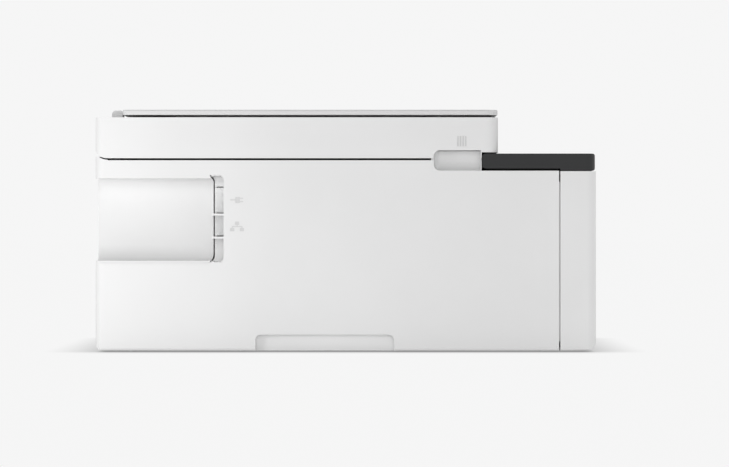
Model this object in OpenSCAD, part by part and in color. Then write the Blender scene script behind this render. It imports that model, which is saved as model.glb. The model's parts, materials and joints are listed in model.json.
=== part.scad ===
// Flat all-in-one inkjet printer with a flatbed scanner on top.
// Millimetres, +Z up, the front faces -Y, the origin is on the table under the middle of the body.

/* [Body] */
// Width across the side covers
body_width = 403; // [401:1:415]
// Depth from the front bezel to the rear cover
body_depth = 364; // [362:1:370]
// Height of the body's upper edge above the table
body_top = 139.4; // [139:0.2:142]
// Height of the underside of the body above the table
ground_gap = 1; // [0.8:0.1:2]
// Thickness of the moulded covers
wall = 2.5; // [2.3:0.1:2.8]
// Radius of the front corners in plan
front_corner = 8; // [6:0.5:10]
// Radius of the rear corners in plan
rear_corner = 5; // [4:0.5:7]
// Radius of the lower edge at the front
front_foot_radius = 6.6; // [5:0.2:8]
// Radius of the lower edge at the rear
rear_foot_radius = 5.5; // [4:0.5:7]
// Radius of the lower edge at the sides
side_foot_radius = 3.2; // [3:0.1:3.4]
// Depth of the front bezel
bezel_depth = 26.2; // [25:0.2:28]

/* [Scanner unit] */
// Set-back of the scanner unit behind the front bezel
scanner_setback = 71.3; // [70.5:0.1:73]
// Height of the scanner unit without its lid
scanner_height = 29.7; // [29.4:0.1:31]
// Dark seam between the body and the scanner unit
scanner_seam = 1.5; // [1.2:0.1:2]
// Length of the glass window, left to right
window_length = 301; // [297:1:304]
// Width of the glass window, front to back
window_width = 218; // [216:1:219]

/* [Lid] */
// Thickness of the lid's rim
lid_rim = 3.8; // [3.6:0.1:4.4]
// Gap under the lid's rim
lid_gap = 1.7; // [1.5:0.1:2]
// Distance from the back of the body to the lid's rear edge
lid_rear_inset = 19.8; // [18:0.1:20]

/* [Control panel] */
// Length of the panel from front to back
panel_length = 82.2; // [81:0.2:83]
// Height of the panel's side
panel_height = 10.9; // [10.5:0.1:11.5]
// Travel of the push-buttons
button_travel = 0.8; // [0.5:0.1:1]
// Diameter of the round push-buttons
button_diameter = 13; // [10:0.5:15]

/* [Side recesses] */
// Length of the finger recess that lifts the scanner unit
grip_length = 34.2; // [30:0.2:36]
// Depth of the finger recess into the side
grip_depth = 14; // [12:0.5:15]
// Depth of the port and cable recess into the side
port_depth = 30; // [27:0.5:31]
// Length of the carry-handle recess
handle_length = 100.7; // [90:0.1:104]
// Depth of the carry-handle recess into the side
handle_depth = 9; // [8:0.5:16]

/* [Paper path] */
// Widest sheet the cassette guides hold
paper_width = 216; // [210:1:216]

/* [Hidden] */
$fn = 64;

half_width = body_width / 2;
front_y = -body_depth / 2;
rear_y = body_depth / 2;
floor_z = ground_gap + 3;

// Scanner unit and lid
scanner_z0 = body_top + scanner_seam;
scanner_z1 = scanner_z0 + scanner_height;
scanner_front_y = front_y + scanner_setback;
scanner_rear_y = rear_y;
scanner_pivot = [rear_y - 9.8, scanner_z0 + 13];
scanner_swing = 13;
swing_gap = 1.2;
rear_lift = 2.7;
rear_lift_length = 9;
lid_z0 = scanner_z1 + lid_gap;
lid_z1 = lid_z0 + lid_rim;
lid_front_y = scanner_front_y + 0.3;
lid_rear_y = rear_y - lid_rear_inset;
lid_half = half_width - 0.8;
lid_pivot = [lid_rear_y + 3.7, scanner_z1 + 2.7];
lid_hinge_x = 176;
window_y0 = scanner_front_y + 20.7;
window_y1 = window_y0 + window_width;
glass_z1 = scanner_z1 - wall;

// Control panel, on a lowered front deck
panel_front_y = front_y + 0.7;
panel_back_y = panel_front_y + panel_length;
panel_z0 = body_top - 6;
panel_z1 = panel_z0 + panel_height;
front_deck_z = body_top - 7.6;
bezel_y1 = front_y + bezel_depth;
cover_y0 = bezel_y1 + 1;
seat_inset = 18;

// Finger recess across the seam, on both sides
grip_y0 = panel_back_y + 1.1;
grip_y1 = grip_y0 + grip_length;
grip_z0 = body_top - 7.5;
grip_z1 = scanner_z0 + 5.8;
grip_cup_z1 = grip_z1 - 0.4;

// Port recess, ribbed port cells ahead of it, carry-handle recess
port_y0 = rear_y - 85.3;
port_z0 = 66.4;
port_z1 = 126.3;
cell_y0 = port_y0 - 7.9;
cell_depth = 24;
cell_ribs = [83.2, 100];
top_gap_z = 119;
sign_depth = 0.8;
plug_sign_spot = [78.6, 110.6];
network_sign_spot = [79, 91.3];
scan_sign_spot = [-84.2, 153.3];
handle_y0 = -34.9;
screw_y = [bezel_y1 + 12, 76, rear_y - 26];
handle_z1 = 12.8;

// Cassette and its channel
channel_half = 122;
cassette_half = 120;
cassette_z0 = floor_z + 0.6;
cassette_top = 46;
cassette_rear_y = rear_y - 48;
cassette_slot_z1 = 53;
bed_z = cassette_z0 + 6.3;
guide_travel = 56;
guide_y0 = -60;
guide_y1 = 36;
guide_pinion_y = -12;
guide_rack_z = cassette_z0 + 2.6;
length_guide_travel = 124;

// Output cavity, tray, extension and stop
cavity_half = 125;
cavity_z0 = 57;
cavity_z1 = 112;
tray_z1 = cavity_z0 + 5;
stop_length = 38;
stop_axis = [front_y + 6, cavity_z0 + 2.8];

// Print engine
frame_half = half_width - 21;
frame_y0 = front_y + 122;
frame_y1 = frame_y0 + 132;
feed_y = front_y + 204;
feed_z = 72;
gear_x0 = -134;
gear_width = 5;
feed_teeth = 40;
motor_teeth = 12;
eject_y = feed_y - 82;
transfer_radius = 5;
transfer_x0 = -128;
motor_z = feed_z - (feed_teeth + motor_teeth) / 2;
star_z = feed_z + 12.2;
platen_z = feed_z + 6;
plate_x0 = 118;
plate_x1 = 121;
rail_y = feed_y + 22;
rail_z = 106;
rail_radius = 4;
belt_y = rail_y + 18;
belt_z = 104;
pulley_x = 168;
pulley_radius = 5;
carriage_x = 137;
carriage_half = 42;
carriage_y0 = feed_y - 74;
carriage_y1 = feed_y + 30;
carriage_z0 = 94;
carriage_z1 = 128;

// Scan bar
rack_pinion_teeth = 16;
bar_x = -49 * PI;
bar_half = 10;
rail_scan_y = 20;
rail_scan_z = scanner_z0 + 8.6;
scan_rack_y = rail_scan_y + 20;

// Rear door and rear paper guide
door_half = 112.5;
door_z0 = 58.5;
door_z1 = 121.5;
door_pivot = [rear_y - 3.5, door_z0 + 3.5];
turn_centre = [cassette_rear_y + 3, 46.5];
arm_pivot = [50, 62];
pickup_centre = [95, 36];
pickup_radius = 9.5;

// Push-buttons: x, y
button_y = front_y + 34;
button_spots = [["power_button", -150], ["back_button", -78], ["stop_button", 78], ["start_button", 108]];

shell_grey = [0.93, 0.93, 0.93];
dark_grey = [0.16, 0.165, 0.17];
mid_grey = [0.45, 0.46, 0.47];
black = [0.05, 0.05, 0.055];
steel = [0.72, 0.73, 0.74];
rubber_black = [0.08, 0.08, 0.08];
circuit_green = [0.08, 0.32, 0.16];
white = [0.96, 0.96, 0.95];
glass_tint = [0.75, 0.82, 0.84, 0.4];

// ---------- Shapes used everywhere ----------

// A box from one corner to the opposite one.
module box(low, high) {
    translate(low) cube(high - low);
}

// A rectangle with rounded corners; the radii run anticlockwise from the lower left.
module rounded(low, high, radii) {
    r = is_list(radii) ? radii : [radii, radii, radii, radii];
    corners = [low, [high[0], low[1]], high, [low[0], high[1]]];
    difference() {
        translate(low) square(high - low);
        for (i = [0:3]) {
            if (r[i] > 0) {
                translate(corners[i]) rotate(90 * i) difference() {
                    translate([-1, -1]) square(r[i] + 1);
                    translate([r[i], r[i]]) circle(r[i]);
                }
            }
        }
    }
}

// Extrude an outline drawn in (y, z) from x0 to x1.
module along_x(x0, x1) {
    translate([x0, 0, 0]) rotate([90, 0, 90]) linear_extrude(x1 - x0) children();
}

// Extrude an outline drawn in (x, z) from y0 to y1.
module along_y(y0, y1) {
    translate([0, y1, 0]) rotate([90, 0, 0]) linear_extrude(y1 - y0) children();
}

// Extrude an outline drawn in (x, y) from z0 to z1.
module along_z(z0, z1) {
    translate([0, 0, z0]) linear_extrude(z1 - z0) children();
}

// A rod along X, centred on (y, z).
module rod_x(x0, x1, centre, r) {
    translate([x0, centre[0], centre[1]]) rotate([0, 90, 0]) cylinder(h = x1 - x0, r = r);
}

// A rod along Z.
module rod_z(z0, z1, centre, r) {
    translate([centre[0], centre[1], z0]) cylinder(h = z1 - z0, r = r);
}

// Children, and their mirror image on the other side of the machine.
module both_sides() {
    children();
    mirror([1, 0, 0]) children();
}

// Involute function, in degrees.
function involute(angle) = tan(angle) * 180 / PI - angle;

// Half the angle a tooth covers at radius r.
function tooth_angle(r, teeth, backlash) =
    90 / teeth - backlash / teeth * 180 / PI + involute(20)
    - involute(acos(min(1, teeth / 2 * cos(20) / r)));

function polar(r, angle) = [r * cos(angle), r * sin(angle)];

// Outline of a module 1 gear with its first tooth turned by "phase".
function gear_outline(teeth, phase, backlash = 0.25) =
    let (
        base = teeth / 2 * cos(20),
        radii = [teeth / 2 - 1.2, max(teeth / 2 - 0.6, base), teeth / 2 + 0.15, teeth / 2 + 0.85],
        last = len(radii) - 1
    )
    [
        for (k = [0:teeth - 1], side = [-1, 1], i = [0:last])
            let (r = side < 0 ? radii[i] : radii[last - i])
                polar(r, phase + k * 360 / teeth + side * tooth_angle(max(r, base), teeth, backlash))
    ];

// Outline of a module 1 rack of "count" teeth pointing to +y, centred on x = 0 with a tooth in the middle.
function rack_outline(count, depth, backlash = 0.25) =
    let (tip = PI / 4 - 0.8 * tan(20) - backlash / 2, root = PI / 4 + 1.1 * tan(20) - backlash / 2)
    concat(
        [[-count * PI / 2, -depth]],
        [
            for (k = [0:count - 1], p = [[-root, -1.1], [-tip, 0.8], [tip, 0.8], [root, -1.1]])
                [(k - (count - 1) / 2) * PI + p[0], p[1]]
        ],
        [[count * PI / 2, -depth]]
    );

// ---------- Outer shape of the body ----------

// The whole body as one block, drawn in from its outer faces by "inset".
module body_block(inset, top) {
    intersection() {
        along_z(0, top) rounded(
            [-half_width + inset, front_y + inset], [half_width - inset, rear_y - inset],
            [front_corner - inset, front_corner - inset, rear_corner - inset / 2, rear_corner - inset / 2]
        );
        along_x(-half_width, half_width) rounded(
            [front_y + inset, ground_gap + inset], [rear_y - inset, top],
            [front_foot_radius - inset, rear_foot_radius - inset, 0, 0]
        );
        along_y(front_y, rear_y) rounded(
            [-half_width + inset, ground_gap + inset], [half_width - inset, top],
            [side_foot_radius - inset, side_foot_radius - inset, 0, 0]
        );
    }
}

// Upper edge of the body seen from the side: level, and lifted at the rear to follow the scanner unit.
module body_side(y0) {
    difference() {
        union() {
            translate([y0, 0]) square([rear_y + 1 - y0, body_top]);
            translate([rear_y - rear_lift_length, 0]) square([rear_lift_length + 1, body_top + rear_lift]);
        }
        translate(scanner_pivot) circle(scanner_swing + swing_gap);
        translate([y0 - 1, front_deck_z]) square([panel_back_y + 0.6 - y0 + 1, 20]);
    }
}

// The finger recess: curved at its inner lower edge and at its rear end.
module grip_space(grow = 0) {
    inner = -half_width + grip_depth + grow;
    intersection() {
        along_y(grip_y0 - grow, grip_y1 + grow) rounded(
            [-half_width - 1, grip_z0 - grow], [inner, grip_z1 + 0.01], [0, 7, 0, 0]
        );
        along_x(-half_width - 1, inner) rounded(
            [grip_y0 - grow, grip_z0 - grow], [grip_y1 + grow, grip_z1 + 0.01], [0, 4.5 + grow / 2, 4.5, 0]
        );
        along_z(grip_z0 - grow, grip_z1 + 0.01) rounded(
            [-half_width - 1, grip_y0 - grow], [inner, grip_y1 + grow], [0, 0, 7, 0]
        );
    }
}

// The cable recess, open to the side and to the rear, with a wide curve along its floor.
module port_space(grow = 0) {
    along_y(port_y0 - grow, rear_y + 1) rounded(
        [-half_width - 1, port_z0 - grow], [-half_width + port_depth + grow, port_z1 + grow], [0, 12, 3, 0]
    );
}

// The row of port cells in front of the cable recess.
module cell_space(grow = 0) {
    along_x(-half_width - 1, -half_width + cell_depth + grow) rounded(
        [cell_y0 - grow, port_z0 - 0.7 - grow], [port_y0 + 0.5, port_z1 + 1.8 + grow], [3, 0, 0, 3]
    );
}

// Ribs between the port cells. They reach across the gap to the cable recess.
module cell_partitions() {
    for (z = cell_ribs) {
        box(
            [-half_width + 0.6, cell_y0 - 1, z - 0.75],
            [-half_width + cell_depth + 1, port_y0 + 0.8, z + 0.75]
        );
    }
}

// The gaps that part the port cells from the rest: a deep one along the cable recess, bent back at both
// ends, a shallow one above and below, and one through the back wall over each rib.
module cell_gaps() {
    outer = -half_width - 1;
    z0 = port_z0 - 0.7;
    z1 = port_z1 + 1.8;
    along_x(outer, -half_width + port_depth + 4) translate([port_y0, 0]) polygon([
        [-0.6, z0 + 3.2], [1.2, z0 - 0.5], [2.3, z0 - 0.5], [0.5, z0 + 3.6],
        [0.5, z1 - 3.6], [2.3, z1 + 0.5], [1.2, z1 + 0.5], [-0.6, z1 - 3.2]
    ]);
    for (z = [z0 - 0.5, z1 - 0.1]) {
        box([outer, cell_y0 + 1.4, z], [-half_width + 3, port_y0 - 1, z + 0.6]);
    }
    for (z = concat(cell_ribs, [top_gap_z])) {
        box(
            [-half_width + cell_depth - 1, cell_y0, z + 0.75],
            [-half_width + cell_depth + 3, port_y0, z + 1.55]
        );
    }
}

// A thin groove under the lip of the cable recess.
module lip_groove() {
    box([-half_width - 1, port_y0 + 2, port_z0 - 1.9], [-half_width + 1, rear_y + 1, port_z0 - 1.1]);
}

// Signs sunk into the left face, each drawn in (y, z) about its own middle.
module sunk_sign(spot) {
    along_x(-half_width - 1, -half_width + sign_depth) translate(spot) children();
}

module plug_sign() {
    translate([-1.6, -2.2]) square([3.2, 4.4]);
    for (z = [-1.6, 0.8]) {
        translate([-4, z]) square([2.8, 0.8]);
    }
    translate([1.2, -0.4]) square([4.2, 0.8]);
}

module network_sign() {
    for (corner = [[-1.5, 1.2], [-5, -3.4], [2, -3.4]]) {
        translate(corner) square([3, 2.4]);
    }
    translate([-0.35, -0.4]) square([0.7, 2]);
    translate([-3.85, -0.4]) square([7.7, 0.7]);
    for (y = [-3.85, 3.15]) {
        translate([y, -1.2]) square([0.7, 1]);
    }
}

module scan_sign() {
    for (i = [0:3]) {
        translate([1.9 * i - 3.3, -3.7]) square([0.9, 7.4]);
    }
}

// The carry-handle recess, open downwards.
module handle_space(grow = 0) {
    along_x(-half_width - 1, -half_width + handle_depth + grow) rounded(
        [handle_y0 - grow, -1], [handle_y0 + handle_length + grow, handle_z1 + grow], [0, 0, 4, 4]
    );
}

// Holes of the screws that join the right side cover to the base.
module screw_holes() {
    for (y = screw_y) {
        rod_z(0, floor_z + 3, [half_width - 12, y], 1.9);
    }
}

// A side cover drawn for the left side, before its ports are cut.
module side_shell() {
    difference() {
        intersection() {
            body_block(0, body_top + 4);
            along_x(-half_width, -half_width + 14) body_side(cover_y0);
        }
        body_block(wall, body_top + 5);
        grip_space();
        handle_space();
        mirror([1, 0, 0]) screw_holes();
    }
    // The finger recess is a cup that rises behind the skin of the scanner unit
    intersection() {
        difference() {
            grip_space(2);
            grip_space();
        }
        union() {
            box([-half_width + wall, panel_back_y + 0.6, 0], [0, rear_y, body_top]);
            box([-half_width + wall + 0.4, panel_back_y + 0.6, 0], [0, rear_y, grip_cup_z1]);
        }
    }
    difference() {
        intersection() {
            handle_space(2);
            box([-half_width + wall, front_y, ground_gap], [0, rear_y, body_top]);
        }
        handle_space();
    }
}

// ---------- Covers ----------

module base_tray() {
    color(shell_grey) difference() {
        union() {
            box(
                [-half_width + 14.3, bezel_y1 + 0.5, ground_gap], [half_width - 14.3, rear_y - 14, floor_z]
            );
            // Ledges over the flanges of the side covers
            box(
                [-half_width + wall + 0.9, bezel_y1 + 7, ground_gap + wall],
                [half_width - wall - 0.9, rear_y - 14, floor_z + 1.5]
            );
            both_sides() {
                box(
                    [channel_half, bezel_y1 + 0.5, ground_gap],
                    [channel_half + 2, cassette_rear_y, cavity_z0 - 2]
                );
                box([plate_x0, eject_y - 10, 54], [channel_half + 2, feed_y + 12, 58]);
                box([frame_half, frame_y0, ground_gap], [frame_half + 2, frame_y1, 56]);
                for (y = [frame_y0, (frame_y0 + frame_y1) / 2, frame_y1 - 2]) {
                    box([channel_half + 2, y, ground_gap], [frame_half, y + 2, 24]);
                }
            }
            box([-channel_half, cassette_rear_y + 1, ground_gap], [channel_half, cassette_rear_y + 3, 14]);
            // Bracket of the feed motor
            difference() {
                box([gear_x0 - 3, feed_y - 10, motor_z - 17], [gear_x0 - 1.5, feed_y + 10, motor_z + 10]);
                rod_x(gear_x0 - 4, gear_x0, [feed_y, motor_z], 3);
            }
            box([gear_x0 - 3, feed_y - 10, motor_z - 17], [-channel_half - 1, feed_y + 10, motor_z - 15]);
        }
        // The cassette slides on the floor itself
        box([-channel_half, bezel_y1, floor_z], [channel_half, cassette_rear_y + 1, floor_z + 4]);
        both_sides() handle_space(2.3);
        both_sides() screw_holes();
        // Vent slots under the power supply
        for (i = [0:7]) {
            box([134 + 5 * i, 80, 0], [136.4 + 5 * i, 120, floor_z + 1]);
        }
    }
}

module left_side_cover() {
    color(shell_grey) difference() {
        union() {
            difference() {
                side_shell();
                port_space();
                cell_space();
                cell_gaps();
            }
            // Walls of the cable recess and the cells
            difference() {
                intersection() {
                    union() {
                        port_space(2);
                        cell_space(2);
                    }
                    along_x(-half_width + wall, 0) square([rear_y - 1.5, 200]);
                }
                port_space();
                cell_space();
                cell_gaps();
            }
            intersection() {
                cell_partitions();
                union() {
                    cell_space(1);
                    port_space();
                }
            }
        }
        lip_groove();
        sunk_sign(plug_sign_spot) plug_sign();
        sunk_sign(network_sign_spot) network_sign();
        // Openings the sockets show through
        box([-half_width + 9.2, cell_y0 - 3, 103.7], [-half_width + 21.8, cell_y0 + 0.5, 115.3]);
        box([-half_width + 6.2, cell_y0 - 3, 84.7], [-half_width + 22.8, cell_y0 + 0.5, 98.8]);
    }
}

module right_side_cover() {
    color(shell_grey) mirror([1, 0, 0]) difference() {
        side_shell();
        // Cooling slots beside the power supply
        for (i = [0:9]) {
            along_x(-half_width - 1, -half_width + wall + 1)
                rounded([90 + 7 * i, 30], [93 + 7 * i, 62], 1.4);
        }
    }
}

module rear_cover() {
    half = half_width - 14.3;
    color(shell_grey) difference() {
        union() {
            difference() {
                intersection() {
                    body_block(0, body_top + 4);
                    along_x(-half, half) body_side(rear_y - 13);
                    box([-half, rear_y - 13, 0], [half, rear_y, 200]);
                }
                body_block(wall, body_top + 5);
            }
            // Bearings of the rear door
            both_sides() box(
                [door_half + 1, rear_y - 8, door_z0 - 1], [door_half + 4.5, rear_y - wall, door_z0 + 9]
            );
        }
        both_sides() rod_x(door_half, door_half + 4, door_pivot, 2.06);
        along_y(rear_y - 4, rear_y + 1)
            rounded([-door_half - 0.5, door_z0 - 0.5], [door_half + 0.5, door_z1 + 0.5], [0, 0, 2.5, 2.5]);
        port_space(2.3);
        along_y(rear_y - 4, rear_y + 1) rounded([147.7, 23.7], [168.3, 34.3], 5);
        for (i = [0:11]) {
            along_y(rear_y - 4, rear_y + 1) rounded([-170 + 8 * i, 22], [-167 + 8 * i, 44], 1.4);
        }
    }
}

module front_bezel() {
    top = front_deck_z - 0.3;
    color(shell_grey) difference() {
        union() {
            difference() {
                intersection() {
                    body_block(0, top);
                    box([-half_width, front_y, 0], [half_width, bezel_y1, top]);
                }
                intersection() {
                    body_block(wall, top - wall);
                    box([-half_width, front_y, 0], [half_width, bezel_y1 + 1, top]);
                }
            }
            // Returns around the cassette slot and the output cavity
            box(
                [-channel_half - 3, front_y + 1, ground_gap + 1],
                [channel_half + 3, bezel_y1, cassette_slot_z1 + 2]
            );
            box([-cavity_half - 2, front_y + 1, cavity_z0 - 2], [cavity_half + 2, bezel_y1, cavity_z1 + 2]);
            // Lips that back the seams to the side covers
            both_sides() {
                box(
                    [half_width - wall - 1.8, bezel_y1 - 8, 8],
                    [half_width - wall + 0.2, bezel_y1 - 1, grip_z0 - 8]
                );
                box(
                    [half_width - wall - 1.8, bezel_y1 - 8, 8],
                    [half_width - wall - 0.3, bezel_y1 + 6, grip_z0 - 8]
                );
            }
        }
        difference() {
            box([-channel_half - 1, front_y - 1, 0], [channel_half + 1, bezel_y1 + 1, cassette_slot_z1]);
            box([-channel_half - 2, front_y, 0], [channel_half + 2, bezel_y1 + 2, ground_gap + 3]);
        }
        along_y(front_y - 1, bezel_y1 + 1)
            rounded([-cavity_half, cavity_z0], [cavity_half, cavity_z1], [1, 1, 6, 6]);
    }
}

module top_deck() {
    inner = half_width - wall - 0.3;
    color(dark_grey) difference() {
        intersection() {
            union() {
                // Lip that closes the seam at the rear, round about the scanner unit's hinge
                along_x(-inner, inner) difference() {
                    translate([rear_y - rear_lift_length, body_top - wall])
                        square([rear_lift_length, wall + rear_lift - 0.2]);
                    translate(scanner_pivot) circle(scanner_swing + 0.4);
                }
                box([-inner, panel_back_y + 0.9, body_top - wall], [inner, rear_y, body_top - 0.4]);
                box(
                    [-inner, bezel_y1 + 0.3, front_deck_z - wall], [inner, panel_back_y + 1.9, front_deck_z]
                );
                box(
                    [-inner, panel_back_y + 0.9, front_deck_z - wall],
                    [inner, panel_back_y + 2.9, body_top - 1]
                );
                // Seat of the control panel
                box(
                    [-inner + seat_inset, bezel_y1 + 0.3, front_deck_z - 1],
                    [inner - seat_inset, panel_back_y - 4, panel_z0]
                );
                // Lip around the carriage bay
                box(
                    [-frame_half - 5, frame_y0 - 4, body_top - 5],
                    [frame_half + 5, frame_y1 - 8, body_top - 1]
                );
            }
            body_block(wall + 0.3, body_top + rear_lift);
        }
        box([-frame_half - 2.5, frame_y0 - 1.5, 100], [frame_half + 2.5, frame_y1 - 10.5, 160]);
        box(
            [-inner + seat_inset + 6, bezel_y1 + 4, front_deck_z],
            [inner - seat_inset - 6, panel_back_y - 10, panel_z0 + 1]
        );
        both_sides() grip_space(2.3);
        // Holes for the posts of the scanner hinges
        both_sides() box(
            [143.9, scanner_pivot[0] - 5.3, body_top - 10], [156.1, scanner_pivot[0] + 5.3, body_top + 4]
        );
        // Slots that let warm air out behind the carriage bay
        for (i = [0:12]) {
            box([-96 + 16 * i - 5, 84, 120], [-96 + 16 * i + 5, 87, 160]);
        }
    }
}

module output_chute() {
    y1 = eject_y - 15;
    color(dark_grey) difference() {
        box([-cavity_half - 2, bezel_y1 + 0.3, cavity_z0 - 2], [cavity_half + 2, y1, cavity_z1 + 2]);
        along_y(bezel_y1 - 1, y1 + 1)
            rounded([-cavity_half, cavity_z0], [cavity_half, cavity_z1], [1, 1, 6, 6]);
    }
    // Rails that hold the output tray down
    color(dark_grey) both_sides() box(
        [119.5, bezel_y1 + 4, tray_z1 + 0.6], [cavity_half + 0.5, y1 - 4, tray_z1 + 2.1]
    );
}

module rear_paper_guide() {
    r = 31;
    top = turn_centre[1] + r;
    color(mid_grey) {
        intersection() {
            along_x(-112, 112) difference() {
                translate(turn_centre) circle(r);
                translate(turn_centre) circle(r - 2);
            }
            box([-113, turn_centre[0], 0], [113, rear_y, 200]);
        }
        box([-112, feed_y + 13, top - 2], [112, turn_centre[0] + 0.1, top]);
        // Cheeks outside the width of the sheets
        both_sides() intersection() {
            along_x(110, 112) translate(turn_centre) circle(r);
            box([109, turn_centre[0], 0], [113, rear_y, 200]);
        }
        // Lugs and pin that the pick-up arm hangs on
        both_sides() box([24.5, arm_pivot[0] - 8, arm_pivot[1] - 6], [28, arm_pivot[0] + 8, top - 1]);
        rod_x(-26, 26, arm_pivot, 3);
        // Feet on the walls of the cassette channel
        both_sides() for (y = [38, 118]) {
            box([110, y, cavity_z0 - 2], [channel_half + 2, y + 8, top - 1]);
        }
    }
}

// ---------- Control panel ----------

module control_panel() {
    color(dark_grey) difference() {
        intersection() {
            along_x(-half_width + 0.4, half_width - 0.4) union() {
                rounded([panel_front_y, panel_z0], [panel_back_y, panel_z1], [0, 2.5, 2.5, 2]);
                rounded([panel_front_y, front_deck_z + 0.1], [bezel_y1, panel_z1 - 3], [2, 0, 0, 0]);
            }
            along_z(100, 200) rounded(
                [-half_width + 0.4, panel_front_y], [half_width - 0.4, panel_back_y],
                [front_corner, front_corner, 0, 0]
            );
        }
        box(
            [-half_width + 3, panel_front_y + 2.2, 100],
            [half_width - 3, panel_back_y - 2.2, panel_z1 - 2.2]
        );
        // Window of the display
        along_z(panel_z1 - 1.2, panel_z1 + 1) rounded([-52, front_y + 10], [52, scanner_front_y - 6], 3);
        along_z(panel_z1 - 3, panel_z1 + 1) rounded([-42, front_y + 14], [42, scanner_front_y - 12], 1);
        for (spot = button_spots) {
            rod_z(panel_z1 - 3, panel_z1 + 1, [spot[1], button_y], button_diameter / 2 + 0.35);
        }
    }
    // Cross webs that guide the button stems
    color(dark_grey) for (spot = button_spots) {
        difference() {
            box(
                [spot[1] - 6, panel_front_y + 1, panel_z0 + 0.8],
                [spot[1] + 6, panel_back_y - 1, panel_z0 + 2.8]
            );
            rod_z(panel_z0, panel_z0 + 4, [spot[1], button_y], 2.35);
        }
    }
}

module panel_window() {
    color(black) along_z(panel_z1 - 1.2, panel_z1 - 0.15)
        rounded([-51.8, front_y + 10.2], [51.8, scanner_front_y - 6.2], 2.8);
}

module display() {
    color([0.2, 0.45, 0.6]) box(
        [-41.5, front_y + 14.5, panel_z1 - 4.2], [41.5, scanner_front_y - 12.5, panel_z1 - 1.3]
    );
}

// A round push-button with a thin stem and a foot that stops it coming out.
module button(spot) {
    stem_z0 = front_deck_z + 0.6 + button_travel;
    color(mid_grey) translate([spot[1], button_y, 0]) {
        translate([0, 0, panel_z1 - 1.6]) cylinder(h = 1.6 + 0.6, r = button_diameter / 2);
        translate([0, 0, stem_z0]) cylinder(h = panel_z1 - 1.5 - stem_z0, r = 2);
        translate([0, 0, panel_z1 - 4.2]) cylinder(h = 1.6, r = button_diameter / 2 + 1.2);
    }
}

module power_button() {
    button(button_spots[0]);
}

module back_button() {
    button(button_spots[1]);
}

module stop_button() {
    button(button_spots[2]);
}

module start_button() {
    button(button_spots[3]);
}

// ---------- Print engine ----------

module engine_frame() {
    color(steel) {
        both_sides() difference() {
            box([frame_half, frame_y0, 56], [frame_half + 1.5, frame_y1, 134]);
            rod_x(frame_half - 1, frame_half + 2, [rail_y, rail_z], rail_radius);
        }
        difference() {
            box([-frame_half, frame_y1 - 1.5, 88], [frame_half, frame_y1, 134]);
            for (i = [-3:3]) {
                along_y(frame_y1 - 2, frame_y1 + 1) rounded([48 * i - 16, 100], [48 * i + 16, 122], 4);
            }
        }
        box([-frame_half, frame_y0, 104], [frame_half, frame_y0 + 1.5, 120]);
    }
    // Shelf that carries the carriage motor and the idler pulley
    color(steel) difference() {
        box([-frame_half, belt_y - 8, 98.5], [-frame_half + 26, frame_y1 - 1.5, 100]);
        rod_z(98, 101, [-pulley_x, belt_y], 3);
    }
    color(steel) {
        box([frame_half - 26, belt_y - 8, 98.5], [frame_half, frame_y1 - 1.5, 100]);
        rod_z(99, belt_z + 8, [pulley_x, belt_y], 1.5);
    }
}

module platen() {
    color(dark_grey) {
        difference() {
            box([-plate_x0, eject_y + 12, feed_z - 6], [plate_x0, feed_y - 9, feed_z + 3]);
            box([-plate_x0 + 3, eject_y + 15, feed_z - 7], [plate_x0 - 3, feed_y - 12, feed_z + 1]);
        }
        for (i = [-9:9]) {
            box([12 * i - 0.8, eject_y + 13, feed_z + 2], [12 * i + 0.8, feed_y - 10, platen_z]);
        }
    }
    // End plates with the bearings of the rollers
    color(dark_grey) both_sides() difference() {
        along_x(plate_x0, plate_x1) union() {
            rounded([eject_y - 9, 58], [feed_y + 11, platen_z + 0.8], [1, 1, 5, 5]);
            rounded([eject_y - 6, feed_z], [eject_y + 6, star_z + 4], [0, 0, 4, 4]);
        }
        rod_x(plate_x0 - 1, plate_x1 + 1, [feed_y, feed_z], 4.06);
        rod_x(plate_x0 - 1, plate_x1 + 1, [eject_y, feed_z], 3.06);
        rod_x(plate_x0 - 1, plate_x1 + 1, [eject_y, star_z], 1.06);
    }
}

module guide_shaft() {
    color(steel) rod_x(-frame_half - 1.5, frame_half + 1.5, [rail_y, rail_z], rail_radius);
}

// Two circles of radius r, "span" on either side of the origin, joined into one shape with straight sides.
module stadium(span, r) {
    for (x = [-span, span]) {
        translate([x, 0]) circle(r);
    }
    translate([-span, -r]) square([2 * span, 2 * r]);
}

// Outline of a belt that runs round two pulleys.
module belt_outline(span, r, thickness) {
    difference() {
        stadium(span, r + thickness);
        stadium(span, r);
    }
}

module carriage_belt() {
    color(rubber_black) along_z(belt_z, belt_z + 6) translate([0, belt_y])
        belt_outline(pulley_x, pulley_radius + 0.4, 1.1);
}

module transfer_belt() {
    span = (feed_y - eject_y) / 2;
    color(rubber_black) along_x(transfer_x0 + 0.5, transfer_x0 + 4.5) translate([feed_y - span, feed_z])
        belt_outline(span, transfer_radius + 0.4, 0.8);
}

module drive_motors() {
    color(steel) {
        rod_z(72, 98.5, [-pulley_x, belt_y], 8.4);
        rod_z(98, belt_z + 8, [-pulley_x, belt_y], 1);
        rod_x(gear_x0 - 31, gear_x0 - 3, [feed_y, motor_z], 13);
        rod_x(gear_x0 - 4, gear_x0 + gear_width + 0.5, [feed_y, motor_z], 1);
    }
}

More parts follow.
